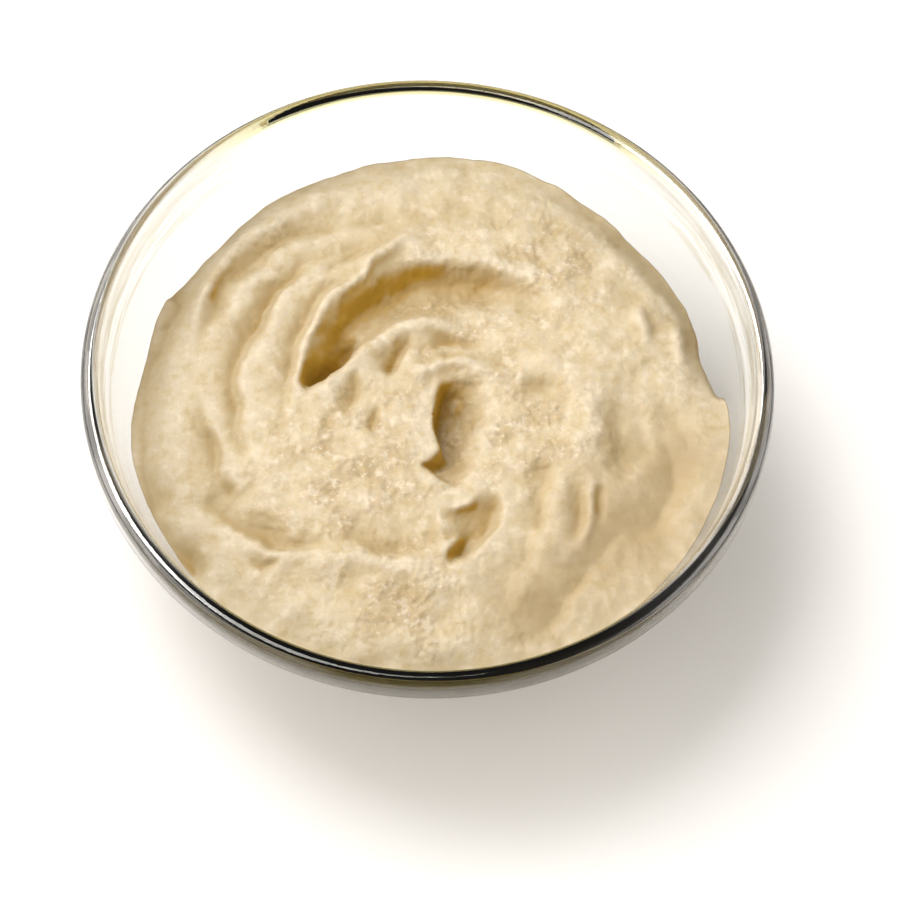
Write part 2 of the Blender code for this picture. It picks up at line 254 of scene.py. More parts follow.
# The pit in the middle: its edge, the width and lean of its wall, and the middle,
# half widths and depth of its basin.
PIT = {
    "rows": [(6.0, -17.6), (3.2, -16.2), (0.8, -15.0), (-0.9, -13.4), (-1.2, -12.0), (0.2, -10.7),
             (1.1, -9.4), (0.6, -7.6), (-0.2, -5.4), (-0.4, -2.6), (-0.3, 0.2), (0.6, 2.6),
             (2.6, 4.7), (6.2, 5.8), (10.0, 6.3), (15.0, 6.0), (21.0, 5.0)],
    "wall": 2.6, "lean": 1.2, "middle": (2.2, -4.0), "spans": (5.6, 10.2), "drop": 7.4}

# Where the paste is gritty: x, y, reach of the patch.
GRITTY = [(-12, -14, 15), (2, 19, 12), (9, -4, 9), (22, 30, 9), (-33, 34, 8), (24, -6, 9),
          (-2, -38, 9)]

# Where it is smooth, and darker with painted shade.
SMOOTH_SHADED = [(36, -24, 13), (45, -7, 7), (20, -38, 8)]

# The way to the main light in plan, x and y.  A slope that rises that way is turned from it.
TO_LIGHT = (-0.82, 0.57)

# -------------------------------------------------------------------- colours
PASTE = {
    "plain": rgb(0.51, 0.42, 0.27), "light": rgb(0.55, 0.465, 0.315),
    # partly painted highlight: paler, whiter paste on the crests, partly drier paste
    "gritty": rgb(0.42, 0.322, 0.185), "pale_crest_and_highlight": rgb(0.53, 0.455, 0.33),
    "pale spot": rgb(0.62, 0.54, 0.41), "brown spot": rgb(0.44, 0.34, 0.18),
    "crumb": rgb(0.66, 0.58, 0.45), "speck": rgb(0.44, 0.31, 0.13),
    # painted shade: darker paste in the hollows
    # painted shade: darker paste on the smooth patches
    "painted_hollow_shade": rgb(0.38, 0.285, 0.145), "smooth_shaded": rgb(0.375, 0.28, 0.15),
    # painted shade: saturated brown in the deepest pits and on slopes turned from the light
    "painted_deep_shade": rgb(0.36, 0.205, 0.02)}
GLASS = {
    "clear": rgb(0.985, 0.99, 0.99), "rim": rgb(0.95, 0.86, 0.28),
    # painted reflection: beige band under the rim on the flanks, darker on the right
    "painted light rim side": rgb(0.985, 0.985, 0.95), "left painted reflection": rgb(0.84, 0.80, 0.69),
    # painted reflection: thin darker arcs on the flanks
    "right painted reflection": rgb(0.60, 0.56, 0.46), "arc": rgb(0.72, 0.67, 0.50),
    "body": rgb(0.55, 0.56, 0.54)}
GLASS_DEPTH = 70.0        # how strongly thick glass takes on its body colour
COAT_INDEX = 2.5          # above any real coating; it makes the bright streaks at the rim's sides

# Bands of the glass, each from where it starts to where it is full, in
# millimetres under the rim.
RIM_BAND = (1.1, 0.5)
UNDER_RIM_BAND = (3.8, 2.6)
SHINE_BAND = (4.2, 3.0)
# painted reflection lines on the flanks of the glass
PAINTED_ARC_BAND, PAINTED_ARC_BAND_END = (8.6, 7.0), (6.4, 5.2)
FLANK = (24, 52)          # how far to the side the flanks start and are full
PAINTED_REFLECTION_REACH = 30          # where the painted reflection has turned to its right hand colour

# --------------------------------------------------------------------- studio
ROOM, CEILING, LEFT_SCREEN, RIGHT_SCREEN = 0.12, 0.08, 2.3, 1.3
ROOM_SHADE = rgb(1.0, 0.945, 0.88)
FLOOR_HALF, FLOOR_LEVEL = 1600.0, -0.1

CAMERA_ELEVATION = 61.06
CAMERA_ROLL = 3.1
CAMERA_DISTANCE = 690.0
CAMERA_PAN = 0.3065       # how far the view swings off the rim's centre, in degrees
CAMERA_TILT = 1.1587
LENS = 160.0


# ---------------------------------------------------------- relief in numbers
def smooth_path(rows, spacing=0.3):
    """Catmull-Rom path through rows of numbers, its third number fading at both ends."""
    rows = np.asarray(rows, float)
    knots = np.vstack([2 * rows[0] - rows[1], rows, 2 * rows[-1] - rows[-2]])
    path = []
    for a, b, c, d in zip(knots, knots[1:], knots[2:], knots[3:]):
        steps = max(2, int(np.hypot(*(c - b)[:2]) / spacing))
        t = (np.arange(steps) / steps)[:, None]
        path.append(0.5 * (2 * b + (c - a) * t + (2 * a - 5 * b + 4 * c - d) * t ** 2
                           + (3 * b - a - 3 * c + d) * t ** 3))
    path.append(rows[-1:])
    path = np.concatenate(path)
    along = np.concatenate([[0], np.cumsum(np.hypot(*np.diff(path[:, :2], axis=0).T))])
    fade = min(END_FADE, 0.28 * along[-1])
    path[:, 2] *= ease(along / fade) * ease((along[-1] - along) / fade)
    return path


def ease(t):
    t = np.clip(t, 0.0, 1.0)
    return t * t * (3 - 2 * t)


class Relief:
    """Height of the hummus over a square grid, with a sideways shift for lips."""

    def __init__(self, seed):
        self.side = int(round(2 * HALF / PITCH)) + 1
        line = np.linspace(-HALF, HALF, self.side)
        self.x, self.y = np.meshgrid(line, line)
        self.random = np.random.RandomState(seed)
        self.height = np.zeros_like(self.x)
        self.shift = np.zeros(self.x.shape + (2,))
        self.wander = [self.ripple(9.0), self.ripple(9.0)]
        self.shiver = [self.ripple(2.4), self.ripple(2.4)]
        self.bent_x = self.x + 0.28 * self.wander[0] + 0.06 * self.shiver[0]
        self.bent_y = self.y + 0.28 * self.wander[1] + 0.06 * self.shiver[1]

    def ripple(self, wavelength):
        """Smooth random field of about that wavelength, spread one."""
        noise = np.fft.fft2(self.random.standard_normal(self.x.shape))
        cycles = np.fft.fftfreq(self.side, PITCH)
        wave = np.hypot(*np.meshgrid(cycles, cycles)) * wavelength
        field = np.fft.ifft2(noise * np.exp(-((wave - 1) / 0.45) ** 2)).real
        return field / field.std()

    def blur(self, field, reach):
        cycles = np.fft.fftfreq(self.side, PITCH)
        wave = np.hypot(*np.meshgrid(cycles, cycles))
        return np.fft.ifft2(np.fft.fft2(field) * np.exp(-2 * (np.pi * wave * reach) ** 2)).real

    def window(self, path, reach):
        """Part of the grid within reach of a path, and where it is."""
        low = ((path[:, :2].min(0) - reach + HALF) / PITCH).astype(int).clip(0, self.side)
        high = ((path[:, :2].max(0) + reach + HALF) / PITCH).astype(int).clip(0, self.side)
        return slice(low[1], high[1]), slice(low[0], high[0])

    def nearest(self, path, cut):
        """For each point of the window: its path sample, offset and side."""
        x, y = self.bent_x[cut], self.bent_y[cut]
        best = np.full(x.shape, 1e9)
        index = np.zeros(x.shape, int)
        for i, (px, py) in enumerate(path[:, :2]):
            gap = (x - px) ** 2 + (y - py) ** 2
            closer = gap < best
            best[closer], index[closer] = gap[closer], i
        along = np.gradient(path[:, :2], axis=0)
        along /= np.linalg.norm(along, axis=1, keepdims=True)
        direction = along[index]
        side = direction[..., 0] * (y - path[index, 1]) - direction[..., 1] * (x - path[index, 0])
        return index, np.sqrt(best), side, direction

    def stroke(self, rows):
        path = smooth_path(rows)
        cut = self.window(path, 3 * path[:, 3:].max())
        index, gap, side, _ = self.nearest(path, cut)
        level = path[index, 2]
        near, far = path[index, 3], path[index, 4]
        near, far = np.where(side > 0, near, far), np.where(side > 0, far, near)
        gentle = (level < 0) & (near > 1.3 * far)
        reach = near * np.where(gentle, REACH_GAIN, 1.0)
        power = np.where(level < 0, FURROW_POWER, 2.0)
        self.height[cut] += STROKE_GAIN * level * np.exp(-(gap / reach) ** power)

    def lip(self, rows, wall, lean):
        """Drop on the right of the path, its edge leaning out over the hollow."""
        path = smooth_path(rows)
        cut = self.window(path, path[:, 3].max() + 4)
        index, gap, side, direction = self.nearest(path, cut)
        drop, reach = path[index, 2], path[index, 3]
        across = np.where(side < 0, gap, -gap)
        floor = 1 - ease((across - wall) / np.maximum(reach - wall, 1.0))
        self.height[cut] -= drop * ease(across / wall) * floor
        push = lean * ease(1 + across / 2.4) * (1 - ease(across / wall))
        push = push * np.clip(drop / 4, 0, 1)
        self.shift[cut] += push[..., None] * np.stack([direction[..., 1], -direction[..., 0]], -1)

    def enclosure(self, directions=16, spans=(0.6, 1.2, 2.0, 3.2, 4.8, 7.0)):
        """How much of the sky the surrounding paste hides from each point, 0 to 1."""
        total = np.zeros_like(self.height)
        for k in range(directions):
            turn = 2 * math.pi * k / directions
            horizon = np.zeros_like(self.height)
            for span in spans:
                step = (int(round(-span / PITCH * math.sin(turn))),
                        int(round(-span / PITCH * math.cos(turn))))
                rise = np.roll(self.height, step, (0, 1)) - self.height
                horizon = np.maximum(horizon, rise / np.hypot(rise, span))
            total += horizon ** 1.3
        return self.blur(total / directions, 0.35)

    def scoop(self, rows, wall, lean, middle, spans, drop):
        """Round basin whose side under the path is a steep or overhanging wall."""
        rows = [(x, y, 1.0, 1.0) for x, y in rows]
        path = smooth_path(rows)
        cut = self.window(path, 2.5 * max(spans))
        _, gap, side, direction = self.nearest(path, cut)
        across = np.where(side < 0, gap, -gap)
        away = np.hypot((self.bent_x[cut] - middle[0]) / spans[0],
                        (self.bent_y[cut] - middle[1]) / spans[1])
        basin = np.exp(-away ** 2.2)
        self.height[cut] -= drop * basin * ease(across / wall)
        push = lean * ease(1 + across / 2.4) * (1 - ease(across / wall)) * ease(basin * 1.6 - 0.3)
        self.shift[cut] += push[..., None] * np.stack([direction[..., 1], -direction[..., 0]], -1)

    def sample(self, field, x, y):
        """Field read between the grid points."""
        u, v = (x + HALF) / PITCH, (y + HALF) / PITCH
        i = np.clip(u.astype(int), 0, self.side - 2)
        j = np.clip(v.astype(int), 0, self.side - 2)
        u, v = (u - i), (v - j)
        if field.ndim == 3:
            u, v = u[..., None], v[..., None]
        return ((1 - v) * ((1 - u) * field[j, i] + u * field[j, i + 1])
                + v * ((1 - u) * field[j + 1, i] + u * field[j + 1, i + 1]))


def glass_line(bearing):
    """Height of the line where the hummus meets the glass, at bearings from -180 to 180."""
    spots, heights = np.transpose(GLASS_LINE)
    bearing = np.where(bearing < spots[0], bearing + 360, bearing)
    after = np.clip(np.searchsorted(spots, bearing, "right"), 1, len(spots) - 1)
    share = ease((bearing - spots[after - 1]) / (spots[after] - spots[after - 1]))
    return heights[after - 1] + share * (heights[after] - heights[after - 1])


def hummus_relief():
    relief = Relief(seed=11)
    radius = np.hypot(relief.x, relief.y)
    fall = ease((radius - MOUND_EDGE) / MOUND_FALL)
    relief.height += CROWN_LEVEL + (SHOULDER_LEVEL - CROWN_LEVEL) * fall
    shore = glass_line(np.degrees(np.arctan2(relief.y, relief.x)))
    relief.height += (shore - SHOULDER_LEVEL) * ease((radius - SHORE) / SHORE_WIDTH)
    for rows in STROKES.values():
        relief.stroke(rows)
    for rows, wall, lean in LIPS.values():
        relief.lip(rows, wall, lean)
    relief.scoop(**PIT)
    relief.height = relief.blur(relief.height, 0.32)
    relief.height += 0.12 * relief.wander[0] + 0.03 * relief.ripple(3.4)
    return relief


# ------------------------------------------------------------ sections in turn
def inner_radius(z):
    """Radius of the inner wall at height z, rounded into the floor."""
    centre = HEIGHT + SPHERE_LIFT
    arm = INNER_SPHERE - FLOOR_FILLET
    turn = math.acos((centre - FLOOR - FLOOR_FILLET) / arm)
    z = np.asarray(z, float)
    wall = np.sqrt(np.maximum(INNER_SPHERE ** 2 - (centre - z) ** 2, 0))
    rise = np.clip(z - FLOOR, 0, FLOOR_FILLET)
    fillet = arm * math.sin(turn) + np.sqrt(FLOOR_FILLET ** 2 - (FLOOR_FILLET - rise) ** 2)
    return np.where(z >= centre - INNER_SPHERE * math.cos(turn), wall, fillet)


def outer_radius(z):
    return np.sqrt(OUTER_SPHERE ** 2 - (HEIGHT + SPHERE_LIFT - np.asarray(z, float)) ** 2)


def arc(cx, cz, radius, start, end, steps):
    turn = np.radians(np.linspace(start, end, steps))
    return list(zip(cx + radius * np.cos(turn), cz + radius * np.sin(turn)))


def bowl_section():
    """Half section from the middle of the floor over the rim to the base."""
    bead_x, bead_z = RIM_RADIUS - BEAD_RADIUS, HEIGHT - BEAD_RADIUS
    points = [(0.0, FLOOR)] + [(r, FLOOR) for r in (4, 8, 12, 15, 17)]
    rise = FLOOR_FILLET * (1 - np.cos(np.radians(np.linspace(0, 28, 12))))
    heights = list(FLOOR + rise) + list(np.linspace(8.2, bead_z - 0.5, 44))
    points += [(float(inner_radius(z)), z) for z in heights]
    points += arc(bead_x, bead_z, BEAD_RADIUS, 172, 0, 26)
    skirt_z = bead_z - BEAD_SKIRT
    lean = math.tan(math.radians(TAPER))
    under = skirt_z
    while RIM_RADIUS - (skirt_z - under) * lean > outer_radius(under):
        under -= TAPER_STEP
        drop = skirt_z - under
        points.append((RIM_RADIUS - drop * lean * ease(drop / 0.5 + 0.3), under))
    foot_top = HEIGHT + SPHERE_LIFT - math.sqrt(OUTER_SPHERE ** 2 - (FOOT_RADIUS + FOOT_BLEND) ** 2)
    points += [(float(outer_radius(z)), z) for z in np.linspace(under - 0.8, foot_top, 46)]
    points += [(FOOT_RADIUS + 0.3 * FOOT_BLEND, foot_top - 0.25 * FOOT_BLEND),
               (FOOT_RADIUS, foot_top - 0.7 * FOOT_BLEND)]
    points += arc(FOOT_RADIUS - FOOT_EDGE, FOOT_EDGE, FOOT_EDGE, 0, -90, 7)
    return points + [(r, 0.0) for r in (20, 14, 7)] + [(0.0, 0.0)]


# ------------------------------------------------------------- geometry trees
class Tree:
    """A Geometry Nodes tree with named inputs, built a node at a time."""

    def __init__(self, name, inputs):
        self.tree = bpy.data.node_groups.new(name, "GeometryNodeTree")
        face = self.tree.interface
        face.new_socket("Geometry", in_out="OUTPUT", socket_type="NodeSocketGeometry")
        face.new_socket("Geometry", in_out="INPUT", socket_type="NodeSocketGeometry")
        self.keys = {}
        for label, kind in inputs.items():
            item = face.new_socket(label, in_out="INPUT", socket_type="NodeSocket" + kind)
            self.keys[label] = item.identifier
        self.enter = self.tree.nodes.new("NodeGroupInput")
        self.leave = self.tree.nodes.new("NodeGroupOutput")

    def node(self, kind, settings=None, inputs=None, out=0):
        made = self.tree.nodes.new(kind)
        for key, value in (settings or {}).items():
            setattr(made, key, value)
        for key, value in (inputs or {}).items():
            if isinstance(value, bpy.types.NodeSocket):
                self.tree.links.new(value, made.inputs[key])
            else:
                made.inputs[key].default_value = value
        return made.outputs[out]

    def maths(self, operation, a, b=0.0):
        return self.node("ShaderNodeMath", {"operation": operation}, {0: a, 1: b})

    def given(self, label):
        return self.enter.outputs[label]

    def finish(self, geometry, material):
        real = self.node("GeometryNodeRealizeInstances", None, {0: geometry})
        dressed = self.node("GeometryNodeSetMaterial", None, {"Geometry": real, "Material": material})
        self.tree.links.new(dressed, self.leave.inputs[0])

    def make(self, name, mesh, values):
        """Runs the tree on a mesh and returns the finished plain object."""
        stock = bpy.data.objects.new(name + "_stock", mesh)
        bpy.context.scene.collection.objects.link(stock)
        modifier = stock.modifiers.new("tree", "NODES")
        modifier.node_group = self.tree
        for label, value in values.items():
            modifier[self.keys[label]] = value
        graph = bpy.context.evaluated_depsgraph_get()
        result = bpy.data.meshes.new_from_object(stock.evaluated_get(graph), depsgraph=graph,
                                                 preserve_all_data_layers=True)
        result.name = name
        bpy.data.objects.remove(stock)
        piece = bpy.data.objects.new(name, result)
        bpy.context.scene.collection.objects.link(piece)
        return piece


def turned_tree():
    """Turns a section, given as a line of points in XZ, round the Z axis."""
    t = Tree("turned glass", {"Facets": "Int", "Rows": "Int", "Weld": "Float",
                              "Material": "Material"})
    columns = t.maths("ADD", t.given("Facets"), 1)
    grid = t.node("GeometryNodeMeshGrid", None, {"Size X": 1.0, "Size Y": 1.0,
                                                 "Vertices X": columns, "Vertices Y": t.given("Rows")})
    place = t.node("GeometryNodeInputPosition")
    split = t.node("ShaderNodeSeparateXYZ", None, {0: place}).node
    turn = t.maths("MULTIPLY", t.maths("ADD", split.outputs[0], 0.5), 2 * math.pi)
    last = t.maths("SUBTRACT", t.given("Rows"), 1)
    row = t.maths("ROUND", t.maths("MULTIPLY", t.maths("ADD", split.outputs[1], 0.5), last))
    section = t.node("GeometryNodeSampleIndex", {"data_type": "FLOAT_VECTOR", "domain": "POINT"},
                     {"Geometry": t.given("Geometry"), "Value": place, "Index": row})
    reach = t.node("ShaderNodeSeparateXYZ", None, {0: section}).node
    x = t.maths("MULTIPLY", reach.outputs[0], t.maths("COSINE", turn))
    y = t.maths("MULTIPLY", reach.outputs[0], t.maths("SINE", turn))
    spot = t.node("ShaderNodeCombineXYZ", None, {0: x, 1: y, 2: reach.outputs[2]})
    shell = t.node("GeometryNodeSetPosition", None, {"Geometry": grid, "Position": spot})
    welded = t.node("GeometryNodeMergeByDistance", None, {"Geometry": shell,
                                                          "Distance": t.given("Weld")})
    outward = t.node("GeometryNodeFlipFaces", None, {"Mesh": welded})
    smooth = t.node("GeometryNodeSetShadeSmooth", None, {"Geometry": outward, "Shade Smooth": True})
    t.finish(smooth, t.given("Material"))
    return t


def grain_tree():
    """Pushes the paste's surface in and out in lumps and grain."""
    t = Tree("paste grain", {"Lump size": "Float", "Lump height": "Float", "Grain size": "Float",
                             "Grain height": "Float", "Seed": "Float", "Material": "Material"})
    place = t.node("GeometryNodeInputPosition")
    normal = t.node("GeometryNodeInputNormal")
    coarse = t.node("GeometryNodeInputNamedAttribute", {"data_type": "FLOAT"}, {"Name": "coarse"})
    total = None
    for size, height, shift in (("Lump size", "Lump height", 0.0), ("Grain size", "Grain height", 7.0)):
        scale = t.maths("DIVIDE", 1.0, t.given(size))
        noise = t.node("ShaderNodeTexNoise", {"noise_dimensions": "4D"},
                       {"Vector": place, "W": t.maths("ADD", t.given("Seed"), shift),
                        "Scale": scale, "Detail": 1.0, "Roughness": 0.5})
        push = t.maths("MULTIPLY", t.maths("SUBTRACT", noise, 0.5), t.given(height))
        total = push if total is None else t.maths("ADD", total, push)
    amount = t.maths("MULTIPLY", total, coarse)
    offset = t.node("ShaderNodeVectorMath", {"operation": "SCALE"}, {0: normal, "Scale": amount})
    moved = t.node("GeometryNodeSetPosition", None, {"Geometry": t.given("Geometry"), "Offset": offset})
    smooth = t.node("GeometryNodeSetShadeSmooth", None, {"Geometry": moved, "Shade Smooth": True})
    t.finish(smooth, t.given("Material"))
    return t


# ------------------------------------------------------------------ materials
class Wire:
    """A value socket that can be written into sums."""

    def __init__(self, bench, socket):
        self.bench, self.socket = bench, socket

    def maths(self, operation, a, b):
        return self.bench.node("ShaderNodeMath", {"operation": operation}, {0: a, 1: b})

    def __add__(self, other):
        return self.maths("ADD", self, other)

    def __sub__(self, other):
        return self.maths("SUBTRACT", self, other)

    def __rsub__(self, other):
        return self.maths("SUBTRACT", other, self)

    def __mul__(self, other):
        return self.maths("MULTIPLY", self, other)

    def __pow__(self, other):
        return self.maths("POWER", self, other)

    __radd__, __rmul__ = __add__, __mul__


class Bench:
    """Where the nodes of one material, or of the studio round the bowl, are laid out."""

    def __init__(self, owner, end="ShaderNodeOutputMaterial"):
        owner.use_nodes = True
        self.owner = owner
        self.tree = owner.node_tree
        self.tree.nodes.clear()
        self.end = self.tree.nodes.new(end)

    def node(self, kind, settings=None, inputs=None, out=0):
        made = self.tree.nodes.new(kind)
        for key, value in (settings or {}).items():
            setattr(made, key, value)
        for key, value in (inputs or {}).items():
            if isinstance(value, Wire):
                self.tree.links.new(value.socket, made.inputs[key])
            else:
                made.inputs[key].default_value = value
        return Wire(self, made.outputs[out])

    def noise(self, place, size, detail=2.0, roughness=0.5):
        return self.node("ShaderNodeTexNoise", None,
                         {"Vector": place, "Scale": 1 / (size * MM), "Detail": detail,
                          "Roughness": roughness})

    def mask(self, name):
        """A value that the mesh carries from point to point."""
        return self.node("ShaderNodeAttribute", {"attribute_name": name}, out=2)

    def between(self, value, low, high):
        """Value carried from low..high to 0..1, eased."""
        return self.node("ShaderNodeMapRange", {"interpolation_type": "SMOOTHSTEP"},
                         {"Value": value, "From Min": low, "From Max": high})

    def blend(self, share, first, second):
        return self.node("ShaderNodeMix", {"data_type": "RGBA"},
                         {0: share, 6: first, 7: second}, out=2)

    def out(self, shader, socket="Surface"):
        self.tree.links.new(shader.socket, self.end.inputs[socket])


def paste_material():
    b = Bench(bpy.data.materials.new("hummus_paste"))
    place = b.node("ShaderNodeTexCoord", out=3)
    painted_hollow_shade, painted_deep_shade, pale_crest_and_highlight = b.mask("painted_hollow_shade"), b.mask("painted_deep_shade"), b.mask("pale_crest_and_highlight")
    coarse, smooth_shaded = b.mask("coarse"), b.mask("smooth_shaded")
    patch = b.noise(place, 14.0, 3.0)
    mottle = b.noise(place, 2.6, 3.0, 0.55)
    fleck = b.noise(place, 0.9, 2.0, 0.6)
    tone = b.blend(b.between(patch, 0.35, 0.65), PASTE["plain"], PASTE["light"])
    for share, name in (
            (b.between(coarse, 0.35, 1.1), "gritty"),
            # paler crests: partly drier paste, partly painted highlight
            (pale_crest_and_highlight, "pale_crest_and_highlight"),
            (b.between(mottle, 0.50, 0.72) * 0.9, "pale spot"),
            (b.between(mottle, 0.48, 0.30) * 0.6, "brown spot"),
            (b.between(fleck, 0.56, 0.72) * 0.6 * coarse, "crumb"),
            (b.between(fleck, 0.42, 0.22) * 0.35, "speck"),
            # painted shade in the hollows
            (painted_hollow_shade, "painted_hollow_shade"),
            # painted shade on the smooth patches
            (smooth_shaded * 0.85, "smooth_shaded"),
            # painted shade in the deepest pits and on slopes turned from the light
            (painted_deep_shade, "painted_deep_shade")):
        tone = b.blend(share, tone, PASTE[name])
    gloss = 0.50 - 0.14 * b.between(patch, 0.4, 0.7) + 0.14 * (mottle - 0.5)
    grain = b.noise(place, 0.55, 3.0, 0.6) * coarse + b.noise(place, 1.5, 2.0) * 0.7
    bump = b.node("ShaderNodeBump", None, {"Strength": 0.55, "Distance": 0.25 * MM, "Height": grain})
    skin = b.node("ShaderNodeBsdfPrincipled", {"subsurface_method": "RANDOM_WALK"}, {
        "Base Color": tone, "Roughness": gloss, "Normal": bump, "IOR": 1.42,
        "Subsurface Weight": 0.36, "Subsurface Radius": (1.0, 0.6, 0.3),
        "Subsurface Scale": 0.6 * MM, "Specular IOR Level": 0.3})
    b.out(skin)
    return b.owner


def glass_material():
    b = Bench(bpy.data.materials.new("clear_glass"))
    place = b.node("ShaderNodeTexCoord", out=3)
    x, y, z = (b.node("ShaderNodeSeparateXYZ", None, {0: place}, out=i) for i in range(3))
    smear = b.noise(place, 18.0, 2.0)
    reach = (x * x + y * y) ** 0.5
    turn = b.node("ShaderNodeMath", {"operation": "ARCTAN2"}, {0: y, 1: x})
    streak = b.noise(b.node("ShaderNodeCombineXYZ", None, {0: reach, 1: turn * 0.004, 2: z}), 0.7)
    lines = b.between(streak, 0.42, 0.58)

    def band(limits):
        """Zero under a band of the glass, one from where it is full."""
        start, full = limits
        return b.between(z, (HEIGHT - start) * MM, (HEIGHT - full) * MM)

    rim = band(RIM_BAND)
    under = band(UNDER_RIM_BAND) * (1.0 - rim)
    # Painted reflection: streaked arcs a little under the rim on the flanks.
    painted_arcs = band(PAINTED_ARC_BAND) * (1.0 - band(PAINTED_ARC_BAND_END))
    flank = b.between(x * x, (FLANK[0] * MM) ** 2, (FLANK[1] * MM) ** 2)
    streaked = 0.5 + 0.5 * lines
    tone = b.blend(rim, GLASS["clear"], GLASS["rim"])
    # Painted light: the rim cleared on the flanks, so its olive edge tint shows only at front and back.
    tone = b.blend(flank * rim, tone, GLASS["painted light rim side"])
    # Painted reflection: a beige band under the rim on the flanks, darker on the right side.
    painted_reflection = b.blend(b.between(x, 0.0, PAINTED_REFLECTION_REACH * MM), GLASS["left painted reflection"], GLASS["right painted reflection"])
    tone = b.blend(flank * under * streaked, tone, painted_reflection)
    tone = b.blend(flank * painted_arcs * lines, tone, GLASS["arc"])
    glass = b.node("ShaderNodeBsdfPrincipled", None, {
        "Base Color": tone, "Roughness": 0.012 * b.between(smear, 0.45, 0.75), "IOR": 1.5,
        "Transmission Weight": 1.0, "Coat Weight": band(SHINE_BAND) * flank * streaked,
        "Coat IOR": COAT_INDEX, "Coat Roughness": 0.03})
    b.out(glass)
    tint = b.node("ShaderNodeVolumeAbsorption", None,
                  {"Color": GLASS["body"], "Density": GLASS_DEPTH})
    b.out(tint, "Volume")
    return b.owner


def floor_material():
    b = Bench(bpy.data.materials.new("white_sweep"))
    place = b.node("ShaderNodeTexCoord", out=3)
    haze = b.noise(place, 120.0, 2.0)
    tone = b.blend(haze, rgb(0.83, 0.83, 0.83), rgb(0.85, 0.85, 0.85))
    b.out(b.node("ShaderNodeBsdfPrincipled", None, {"Base Color": tone, "Roughness": 0.9,
                                                    "Specular IOR Level": 0.1}))
    return b.owner


# --------------------------------------------------------------------- pieces
def make_bowl():
    section = bowl_section()
    line = bpy.data.meshes.new("bowl_section")
    line.from_pydata([(x * MM, 0.0, z * MM) for x, z in section],
                     [(i, i + 1) for i in range(len(section) - 1)], [])
    return turned_tree().make("glass_bowl", line, {
        "Facets": BOWL_FACETS, "Rows": len(section), "Weld": 0.002 * MM,
        "Material": glass_material()})


def edge_radius(relief, bearing):
    """Radius at which the top meets the line just inside the glass wall."""
    low, high = np.full(len(bearing), 40.0), np.full(len(bearing), 56.5)
    for _ in range(24):
        middle = (low + high) / 2
        level = HEIGHT + relief.sample(relief.height, middle * np.cos(bearing), middle * np.sin(bearing))
        inside = middle < inner_radius(level) + BITE
        low, high = np.where(inside, middle, low), np.where(inside, high, middle)
    return low


def ring_faces(count):
    """Triangles of a round patch whose ring k holds six times k points."""
    start = [0] + [1 + 3 * k * (k - 1) for k in range(1, count + 2)]
    faces = [np.array([[0, 1 + i, 1 + (i + 1) % 6] for i in range(6)])]
    for k in range(1, count):
        inner, outer = start[k], start[k + 1]
        for sector in range(6):
            i = np.arange(k + 1)
            a = inner + (sector * k + i) % (6 * k)
            b = outer + (sector * (k + 1) + i) % (6 * (k + 1))
            c = outer + (sector * (k + 1) + i + 1) % (6 * (k + 1))
            faces.append(np.stack([a, b, c], 1))
            i = np.arange(k)
            a = inner + (sector * k + i) % (6 * k)
            b = outer + (sector * (k + 1) + i + 1) % (6 * (k + 1))
            c = inner + (sector * k + i + 1) % (6 * k)
            faces.append(np.stack([a, b, c], 1))
    return np.concatenate(faces)


def patches(places, u, v):
    """How much each point lies in the patches listed as x, y and reach."""
    share = sum(np.exp(-((u - x) ** 2 + (v - y) ** 2) / reach ** 2) for x, y, reach in places)
    return np.minimum(share, 1.0)


def paste_masks(relief, u, v, out):
    """Masks for the colour, with its painted shade and highlight, and the grain of the top; out runs
    from 0 to 1 at the glass.
    """
    closed = relief.sample(relief.enclosure(), u, v)
    rise_y, rise_x = np.gradient(relief.height, PITCH)
    away = relief.sample(TO_LIGHT[1] * rise_y + TO_LIGHT[0] * rise_x, u, v)
    # Painted shade: darker where the surrounding paste hides the sky, less on slopes facing the light.
    painted_hollow_shade = ease((closed - 0.02) / 0.24) * (1 - 0.45 * ease(-away / 0.6))
    # Painted shade: the most enclosed spots, and slopes turned from the main light, in saturated brown.
    enclosed = 0.6 * ease((closed - 0.20) / 0.26) * (1 - 0.95 * ease(-away / 0.4))
    shaded = ease((away - 0.5) / 0.9) * ease((closed - 0.10) / 0.2)
    # Crests paler: partly drier paste, partly painted highlight.
    proud = relief.sample(relief.height - relief.blur(relief.height, 2.2), u, v)
    # Smooth patches: less grit, and darkened as painted shade.
    smooth_shaded = patches(SMOOTH_SHADED, u, v)
    uneven = 0.5 + 0.5 * ease(0.5 + 0.6 * relief.sample(relief.wander[1], u, v))
    coarse = (0.5 + 0.8 * patches(GRITTY, u, v)) * uneven
    return {"painted_hollow_shade": painted_hollow_shade, "painted_deep_shade": np.maximum(enclosed, shaded),
            "pale_crest_and_highlight": ease((proud + 0.35) / 1.1),
            "coarse": coarse * ease((1 - out) * 12) * (1 - 0.6 * smooth_shaded), "smooth_shaded": smooth_shaded}


def side_rings(edge_z, turn):
    """Rings of points down the glass, from under the edge of the top to the floor."""
    low = FLOOR - BITE
    rings = []
    for i in range(1, WALL_RINGS + 1):
        z = low + (edge_z - low) * (1 - i / WALL_RINGS) ** 1.4
        r = inner_radius(z + BITE) + BITE
        rings.append(np.stack([r * np.cos(turn), r * np.sin(turn), z], 1))
    return rings


